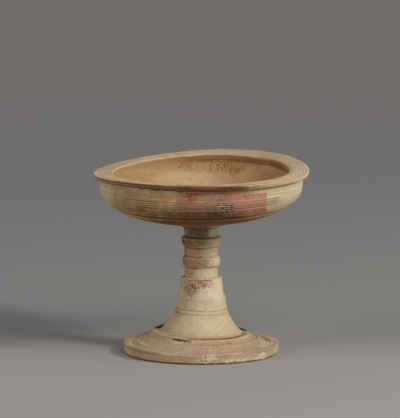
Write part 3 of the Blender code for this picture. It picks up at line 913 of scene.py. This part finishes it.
# Stains laid along turned edges: X, turned radius at the front (minus) or back, turned height
EDGE_STAINS = stains(
    # Painted shadow in the crest's split and in the crack in front of it
    (-19, -39.8, 16.4, 8.5, 0.9, 1.2, PAINTED_SHADE, 90, 50, 30),
    (-7, -37, 17, 5, 1.6, 0.8, PAINTED_SHADE, 50, 50, 30),
    (14, -34.8, 17, 24, 2.2, 1, PAINTED_SHADE, 70, 30, 40),
    (10, -32.6, 17.8, 28, 1, 0.8, HONEY, 60, 40, 40),
    (-15, -41.8, 15.2, 8, 1.6, 1.2, CREAM, 70, 180, 40),
    (52, -56, 9, 5, 9, 2.6, CREAM, 70, 160, 40),
    (-51.5, 56, 9, 5, 8, 2.6, CREAM, 50, 160, 40),
    (50, -62, 7.8, 15, 4, 1.8, DRAB, 70, 60, 40),
    (-50, -62, 7.8, 14, 3, 1.4, BROWN, 60, 60, 40),
    (60, -86, 146, 22, 2, 2.6, TAN, 50, 50, 40),
    (46, -74, 118.5, 12, 8, 4, BISCUIT, 40, 60),
    # Partly scorch and partly painted shade on the top of the lip at the front
    (-4, -82, 147.4, 18, 6, 1.8, BURNT_AND_SHADED, 85, 50, 40),
    (78, -79, 148, 16, 8, 5, BISCUIT, 40, 60),
    (78, 79, 148, 16, 8, 5, BISCUIT, 40, 60),
    (66, -71, 147.2, 16, 1.8, 2, TAN, 70, 60, 40),
    (64, 71, 147.2, 18, 1.8, 2, TAN, 80, 60, 40),
    # Partly the clay's browns and partly painted shade on the lip face at the front
    (-48, -86, 145, 38, 3, 1.9, BROWN, 80, 30, 30),
    (-28, -86, 145, 32, 2.4, 2.2, DEEP_BROWN, 55, 40, 30),
    (14, -82, 147.4, 32, 5, 2, ROSE, 75, 50, 40),
    (9, -86.5, 145.4, 35, 1.7, 2.9, BURNT_AND_SHADED, 95, 30, 25),
    (0, -86.5, 146.9, 15, 1.9, 1.8, RED, 60, 90, 30),
    (-58, -86, 146.2, 27, 2, 0.55, DEEP_BROWN, 75, 50, 35),
    # Painted shade on the inner lip and its crease, under the overhanging ledge at the back
    (10, 70.3, 144.4, 52, 3, 2.4, BROWN, 95, 25, 25),
    (20, 70, 142.2, 48, 3, 1, DEEP_BROWN, 50, 50),
    (-43, 70.3, 143.4, 26, 3, 2.6, OLIVE, 85, 40, 60),
    # Painted shade on the inner lip at the right, which faces away from the lamps
    (61, 70.3, 144.6, 8, 3, 2.6, DEEP_BROWN, 50, 40, 30),
)

# Smoke in the middle of the scorched patch: even stains first, then pale and dark specks
SMOKE_STAINS = stains(
    (6.5, -80.6, 135.6, 9, 9, 4.4, DRAB, 75, 140, 45),
    (9, -80.4, 133.6, 6, 9, 3, VIOLET, 50, 160, 40),
    (15.5, -79.5, 134, 2.2, 5, 1.9, VIOLET, 90, 80, 35),
    (12.5, -78, 124.6, 17, 9, 5, UMBER, 75, 140, 45),
    (19.2, -77, 126.8, 7.4, 8, 5.4, VIOLET, 60, 140, 45),
)
ASH_SPECKS = stains(
    (19.6, -77, 128.6, 6, 8, 3.8, ASH, 35, 120),
    (6, -80, 136.5, 8, 8, 3.6, ASH, 45, 120),
    (24.5, -75.8, 123.8, 5, 8, 3.6, ASH, 40, 140),
)
SOOT_SPECKS = stains(
    (17.8, -77.4, 126.9, 7.2, 8, 4.4, SOOT_AND_SHADE, 95, 140, 40),
    (12.5, -77.8, 123.8, 10, 8, 3, SOOT_AND_SHADE, 60, 180),
)
OCHRE_FLECK = stains((15.2, -78.7, 129.2, 1.9, 3, 1.5, OCHRE, 95, 90, 30))

# Specks of the clay: how many to the metre, their size in their cells, and the share without one
DARK_GRAINS = (310, 0.22, 0.84)
PALE_GRAINS = (370, 0.24, 0.88)

# Pitches of the rings that the wheel left
RING_PITCH = 1.5 * MM
THIN_RING_PITCH = 0.6 * MM


class Shade:
    """An output of a node. Adding, taking away or multiplying shades adds maths nodes."""

    def __init__(self, socket):
        self.socket = socket

    def __add__(self, other):
        return maths("ADD", self, other)

    def __sub__(self, other):
        return maths("SUBTRACT", self, other)

    def __rsub__(self, other):
        return maths("SUBTRACT", other, self)

    def __mul__(self, other):
        return maths("MULTIPLY", self, other)


def fill(node, inputs):
    """Sets the inputs of a node, by name or number, to values or to other nodes' outputs."""
    for name, value in inputs.items():
        if isinstance(value, Shade):
            node.id_data.links.new(value.socket, node.inputs[name])
        else:
            node.inputs[name].default_value = value


def add_node(kind, inputs, tree=None, **settings):
    """Adds a node, by default to the tree that its inputs come from."""
    if tree is None:
        tree = next(value.socket.id_data for value in inputs.values() if isinstance(value, Shade))
    node = tree.nodes.new("ShaderNode" + kind)
    for name, value in settings.items():
        setattr(node, name, value)
    fill(node, inputs)
    return node


def add(kind, inputs, output=0, **settings):
    return Shade(add_node(kind, inputs, **settings).outputs[output])


def maths(operation, *values):
    return add("Math", dict(enumerate(values)), operation=operation)


def vectors(operation, *values, output="Vector"):
    return add("VectorMath", dict(enumerate(values)), output, operation=operation)


def ramp(value, low, high, start=0, end=1):
    """start below low, end above high, and a smooth rise between them."""
    limits = {"Value": value, "From Min": low, "From Max": high, "To Min": start, "To Max": end}
    return add("MapRange", limits, "Result", interpolation_type="SMOOTHSTEP")


def blend(share, under, over, way="MIX"):
    """Lays one colour over another."""
    return add("Mix", {0: share, 6: under, 7: over}, 2, data_type="RGBA", blend_type=way)


def speckle(place, scale, detail=3, roughness=0.6):
    values = {"Vector": place, "Scale": scale, "Detail": detail, "Roughness": roughness}
    return add("TexNoise", values, "Fac")


def axes(place):
    return [Shade(socket) for socket in add_node("SeparateXYZ", {0: place}).outputs]


def use(group, *values):
    """Places a node group with its inputs in order, and gives its outputs in order."""
    node = add_node("Group", dict(enumerate(values)), node_tree=group)
    return [Shade(socket) for socket in node.outputs]


def open_group(name, vector_inputs, float_inputs, outputs):
    """A shader node group with named sockets, and its inputs."""
    group = bpy.data.node_groups.new(name, "ShaderNodeTree")
    sockets = [(label, "INPUT", "NodeSocketVector") for label in vector_inputs]
    sockets += [(label, "INPUT", "NodeSocketFloat") for label in float_inputs]
    sockets += [(label, "OUTPUT", "NodeSocketFloat") for label in outputs]
    for label, way, kind in sockets:
        group.interface.new_socket(name=label, in_out=way, socket_type=kind)
    given = group.nodes.new("NodeGroupInput").outputs
    return group, [Shade(given[label]) for label in (*vector_inputs, *float_inputs)]


def close_group(group, *shades):
    fill(group.nodes.new("NodeGroupOutput"), dict(enumerate(shades)))
    return group


def ragged_spot():
    """A blotch round a place: 1 inside, 0 outside, with an edge that wanders with the noise."""
    names = (("Place", "Centre", "Reach"), ("Noise", "Ragged", "Soft"), ("Mask",))
    group, (place, centre, reach, wander, raggedness, soft) = open_group("ragged_spot", *names)
    share = vectors("DIVIDE", vectors("SUBTRACT", place, centre), reach)
    edge = vectors("LENGTH", share, output="Value") + wander * raggedness
    return close_group(group, ramp(edge, soft + 1, 1 - soft))


def turning_streaks():
    """Fine rings of the wheel: noise drawn out round the axis and tight along the outline."""
    names = (("Place",), ("Turned", "Pitch"), ("Streak",))
    group, (place, turned, pitch) = open_group("turning_streaks", *names)
    level = vectors("MULTIPLY", place, (1, 1, 0))
    across, away, _ = axes(vectors("NORMALIZE", level))
    along = maths("DIVIDE", turned, pitch)
    spun = add("CombineXYZ", {0: across * 1.6, 1: away * 1.6, 2: along})
    return close_group(group, speckle(spun, 1, 2, 0.65))


def clay_grain():
    """Specks and small holes of a coarse clay, as two masks and a height."""
    group, (place,) = open_group("clay_grain", ("Place",), (), ("Dark", "Pale", "Height"))
    masks = []
    for scale, size, bare in (DARK_GRAINS, PALE_GRAINS):
        cells = add_node("TexVoronoi", {"Vector": place, "Scale": scale})
        chance = axes(Shade(cells.outputs["Color"]))[0]
        near_middle = ramp(Shade(cells.outputs["Distance"]), size, size * 0.5)
        masks.append(near_middle * ramp(chance, bare, bare + 0.02))
    dark, pale = masks
    return close_group(group, dark, pale, speckle(place, 1500, 4, 0.7) - dark * 0.8)


def scorched_patch(place, turned, colour, mottle, fine, ring):
    """The reddened front of the bowl, cut off sharply on the right and deepest low down."""
    side, depth_in, _ = axes(place)
    across = fine * (1.6 * MM) + side
    uneven = fine * (2.4 * MM) + turned
    lean = ramp(uneven, 125 * MM, 141 * MM, 0, 4 * MM)
    drift = mottle * (22 * MM) + (across - lean)
    lifted = uneven + ramp(across, 34 * MM, 42 * MM, 0, 3 * MM)
    mask = ramp(drift, PATCH_LEFT, PATCH_LEFT + 15 * MM)
    mask *= ramp(across, PATCH_RIGHT + 0.5 * MM, PATCH_RIGHT - 0.5 * MM)
    mask *= ramp(uneven, PATCH_BOTTOM, PATCH_BOTTOM + 5 * MM)
    mask *= ramp(lifted, PATCH_TOP + 1.5 * MM, PATCH_TOP)
    mask *= ramp(depth_in, -42 * MM, -50 * MM)
    depth = ramp(uneven, 137 * MM, 126 * MM) * 0.75
    depth += ramp(across, 14 * MM, 42 * MM, 0.6, -0.35)
    depth = mottle * 1.3 + depth
    depth = (ring - 0.45) * 1.6 + depth
    red = blend(ramp(depth, 0, 1.1), ROSE, RED)
    red = blend(ramp(depth, 0.7, 1.3), red, RUST)
    red = blend(ramp(fine, 0.02, 0.22) * 0.5, red, PINK)
    return blend(mask * 0.94, colour, red), mask


def start_material(name):
    """A material with its shader, and the place of each point on the piece."""
    material = bpy.data.materials.new(name)
    material.use_nodes = True
    tree = material.node_tree
    return material, tree.nodes["Principled BSDF"], add("TexCoord", {}, "Object", tree=tree)


def fired_clay():
    """Buff clay with kiln stains, wheel rings, specks, dirt and painted shade in the hollows and worn edges;
    some stains are painted shade and highlights.
    """
    material, shader, place = start_material("fired_clay")
    names = ("height", "radius", "zone", "bent", "sunk", "ridge", "broken", "pitted", "crusted")
    tree = material.node_tree
    notes = [add("Attribute", {}, "Fac", tree=tree, attribute_name=name) for name in names]
    turned, radius, zone, bent, sunk, ridge, broken, pitted, crusted = notes

    broad = speckle(place, 26) - 0.5
    mottle = speckle(place, 110, 4) - 0.5
    fine = speckle(place, 420, 4, 0.65) - 0.5
    specks = speckle(place, 760, 2, 0.5) - 0.5
    wander = mottle * 2 + fine
    along = radius * 0.9 + turned
    streaks = turning_streaks()
    ring = use(streaks, place, along, RING_PITCH)[0]
    thin = use(streaks, place, along, THIN_RING_PITCH)[0]
    inside = ramp(zone, INSIDE - 0.8, INSIDE - 0.5)
    on_bowl = ramp(zone, UNDERSIDE - 0.8, UNDERSIDE - 0.5)
    on_stem = ramp(zone, CONE - 0.8, CONE - 0.5) - on_bowl
    on_ledge = ramp(zone, LEDGE - 0.9, LEDGE - 0.3) - inside
    x, y, _ = axes(place)
    turned_place = add("CombineXYZ", {0: x, 1: maths("SIGN", y) * radius, 2: turned})
    spot = ragged_spot()

    def stained(colour, entries, where=place, within=None):
        """Lays stains over a colour, and where a mask is given, only within it."""
        for entry in entries:
            centre, reach = Vector(entry.place) * MM, Vector(entry.reach) * MM
            mask = use(spot, where, centre, reach, wander, entry.ragged, entry.soft)[0]
            share = mask * entry.strength
            colour = blend(share if within is None else share * within, colour, entry.colour)
        return colour

    colour = blend(ramp(broad, -0.12, 0.14), SAND, BUFF)
    colour = blend(on_stem * 0.6, colour, PALE)
    colour = blend(on_ledge * 0.85, colour, BISCUIT)
    colour = blend(ramp(mottle, 0.02, 0.2, 0, 0.45), colour, CREAM)
    bowl_inside = stained(blend(inside * 0.9, colour, HONEY), INSIDE_STAINS)
    colour = stained(colour, STAINS)
    colour, scorched = scorched_patch(place, turned, colour, mottle, fine, ring)
    colour = blend(inside, colour, bowl_inside)
    colour = stained(colour, SMOKE_STAINS)
    colour = stained(colour, ASH_SPECKS, within=ramp(specks, -0.02, -0.09))
    colour = stained(colour, SOOT_SPECKS, within=ramp(specks, 0, 0.06))
    colour = stained(colour, OCHRE_FLECK)

    # Lighter and darker turning rings and grain, stronger on the bowl than on the foot
    streak_share = inside * -0.32 + ramp(on_bowl, 0, 1, 0.2, 0.62)
    tone = (ring + thin - 1) * streak_share + 1
    for grain, share in ((mottle, 0.35), (fine, 0.35), (specks, 0.2)):
        tone = grain * share + tone
    grey = add("CombineColor", {0: tone, 1: tone, 2: tone})
    colour = blend(1, colour, grey, "MULTIPLY")

    # Dirt and painted shade in hollows and cuts, painted shadow in the deepest cuts, pale wear on ridges and
    # edges
    bent = fine * 0.6 + bent
    sunk = fine * 0.06 + sunk
    hollow = ramp(bent, -0.34, -0.04, 0.75, 0)
    colour = blend(maths("MAXIMUM", hollow, ramp(sunk, 0.02, 0.11, 0, 0.88)), colour, DIRT_AND_SHADE)
    colour = blend(ramp(sunk, 0.14, 0.45, 0, 0.85), colour, SHADOW)
    raised = ridge * ramp(ring, 0.34, 0.48, 0.5, 1)
    colour = blend(raised * (scorched * 0.7 + 0.15), colour, PINK)
    colour = blend(ramp(bent, 0.07, 0.38, 0, 0.6), colour, CREAM)
    colour = stained(colour, EDGE_STAINS, where=turned_place)

    dark, pale, grain_height = use(clay_grain(), place)
    layers = ((dark, 0.5, DIRT_AND_SHADE), (pale, 0.5, CHALK))
    layers += ((broken, 0.3, PINK), (pitted, 0.5, DIRT_AND_SHADE), (crusted, 0.85, CRUST))
    for mask, strength, tint in layers:
        colour = blend(mask * strength, colour, tint)

    relief = fine * 1.6 + (thin * 0.9 + grain_height)
    bump = add("Bump", {"Height": relief, "Strength": 0.85, "Distance": 0.4 * MM})
    roughness = ramp(mottle, -0.2, 0.2, 0.78, 0.94)
    fill(shader, {"Base Color": colour, "Roughness": roughness, "Normal": bump, "Specular IOR Level": 0.3})
    return material


# Tones of the paper from front to back, and the distances in metres over which each begins
FLOOR_RADIUS = 14
# The front tone is painted light; the darker tones behind the vessel are painted shade, and the far tone is
# painted brighter where the lamps' light falls off
LIT_PAPER_FRONT = (0.43, 0.411, 0.4, 1)
PAPER_LIGHT_AND_SHADE = (
    ((0.325, 0.317, 0.311, 1), (-0.08, 0.12)),
    ((0.338, 0.327, 0.321, 1), (0.16, 0.3)),
    ((0.5, 0.472, 0.463, 1), (0.9, 2.6)),
)

# Lamps: azimuth and elevation in degrees, diameter in metres, watts. Azimuth 0 is the viewer's
# right, 90 the front
LAMPS = {
    "key": (32, 30, 0.6, 44),
    "front": (62, 44, 2, 18),
    "left": (150, 25, 1.2, 17),
    "right": (8, 14, 0.9, 6),
}
LAMP_COLOUR = (1, 0.99, 0.97)
LAMP_DISTANCE = 3
LAMP_TARGET = Vector((0, 0, 80 * MM))
AIR_COLOUR = (1, 0.99, 0.98, 1)
AIR_STRENGTH = 0.2

# Camera, fitted to the photograph
CAMERA_PLACE = (-1.03 * MM, -4428 * MM, 770.4 * MM)
CAMERA_PITCH = math.radians(8.41)
FOCAL_PIXELS = 5602
PICTURE_HEIGHT = 418
SENSOR = 36


def floor():
    """A wide sheet of grey paper that runs back behind the vessel, with light and shade painted into its
    tone.
    """
    material, shader, place = start_material("floor_paper")
    away = axes(place)[1]
    colour = LIT_PAPER_FRONT
    for tone, (start, end) in PAPER_LIGHT_AND_SHADE:
        colour = blend(ramp(away, start, end), colour, tone)
    fill(shader, {"Base Color": colour, "Roughness": 0.95, "Specular IOR Level": 0.2})
    shape = bmesh.new()
    bmesh.ops.create_circle(shape, cap_ends=True, segments=96, radius=FLOOR_RADIUS)
    make_piece("floor", shape, material)


def soft_lamp(name, azimuth, elevation, size, power):
    """A disc of light that faces the vessel."""
    turn, rise = math.radians(azimuth), math.radians(elevation)
    away = Vector((math.cos(turn) * math.cos(rise), -math.sin(turn) * math.cos(rise), math.sin(rise)))
    lamp = bpy.data.lights.new(name, "AREA")
    lamp.shape = "DISK"
    lamp.size = size
    lamp.energy = power
    lamp.color = LAMP_COLOUR
    holder = link(bpy.data.objects.new(name, lamp))
    holder.location = LAMP_TARGET + away * LAMP_DISTANCE
    holder.rotation_euler = (-away).to_track_quat("-Z", "Y").to_euler()
    holder.visible_camera = False


def studio():
    world = bpy.data.worlds.new("studio_air")
    world.use_nodes = True
    fill(world.node_tree.nodes["Background"], {"Color": AIR_COLOUR, "Strength": AIR_STRENGTH})
    bpy.context.scene.world = world
    for name, setting in LAMPS.items():
        soft_lamp(name, *setting)
    bpy.context.scene.view_settings.view_transform = "Standard"


def camera():
    lens = bpy.data.cameras.new("camera")
    lens.sensor_width = SENSOR
    lens.lens = FOCAL_PIXELS / PICTURE_HEIGHT * SENSOR
    lens.clip_end = 100
    holder = link(bpy.data.objects.new("camera", lens))
    holder.location = CAMERA_PLACE
    holder.rotation_euler = (math.pi / 2 - CAMERA_PITCH, 0, 0)
    bpy.context.scene.camera = holder


chalice = build_chalice()
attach(chalice, "root")
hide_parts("chalice")
floor()
studio()
camera()
